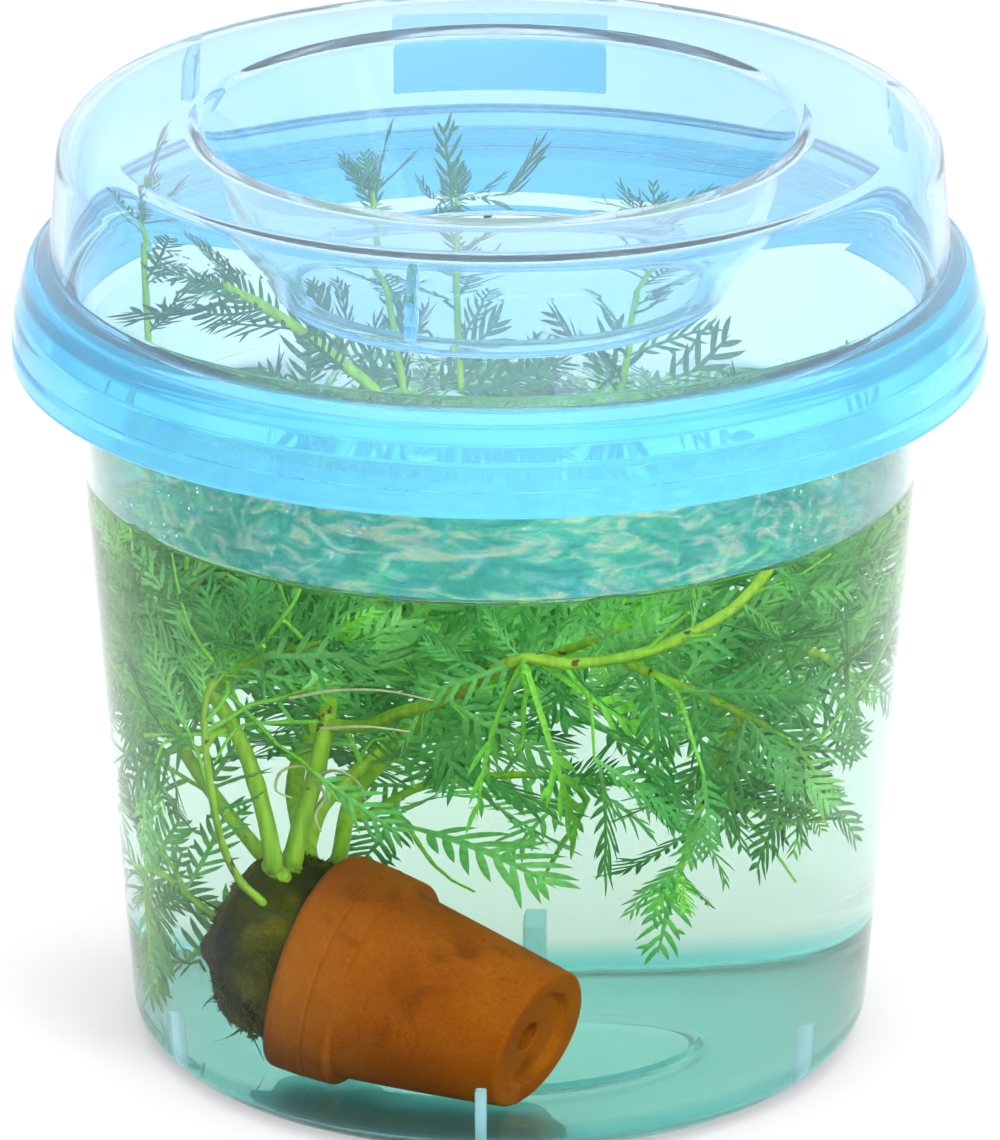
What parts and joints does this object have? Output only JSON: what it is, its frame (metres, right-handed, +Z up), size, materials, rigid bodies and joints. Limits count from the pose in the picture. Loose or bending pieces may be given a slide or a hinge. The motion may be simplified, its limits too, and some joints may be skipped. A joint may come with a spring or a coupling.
{
  "type": "potted water violet in a lidded tub",
  "caption": "Feathery water plant rooted in a small clay pot that lies in a round, clear tub of water, under a domed translucent lid with a deep open well through its middle.",
  "frame": {"origin": "centre of the tub's base, on the surface it stands on", "axes": "+Z up through the lid, -Y towards the side where the pot lies"},
  "size_m": [0.1934, 0.1934, 0.1913],
  "materials": {
    "clear_plastic_tub": "clear, smooth, faintly teal",
    "blue_plastic_lid": "clear, smooth, tinted sky blue",
    "water": "still, clear water",
    "terracotta": "unglazed, wet, dull",
    "mossy_roots": "fibrous, mossy, wet",
    "water_plant": "soft, smooth, slightly translucent"
  },
  "bodies": {
    "root": {"tub": "clear_plastic_tub", "lid": "blue_plastic_lid", "water": "water", "clay_pot": "terracotta", "root_ball": "mossy_roots", "stem_left": "water_plant", "stem_middle": "water_plant", "stem_curled": "water_plant", "branch_left": "water_plant", "runner_front": "water_plant", "shoot_right_front": "water_plant", "shoot_centre": "water_plant", "shoot_right": "water_plant", "shoot_low_right": "water_plant", "shoot_behind_pot": "water_plant", "shoot_back": "water_plant", "shoot_back_left": "water_plant", "shoot_left_low": "water_plant", "shoot_left_top": "water_plant", "shoot_front_left": "water_plant", "shoot_right_top": "water_plant", "shoot_surface": "water_plant", "sprig_well_left": "water_plant", "sprig_well_middle": "water_plant", "sprig_back_right": "water_plant", "sprig_lid_left": "water_plant"}
  },
  "joints": []
}
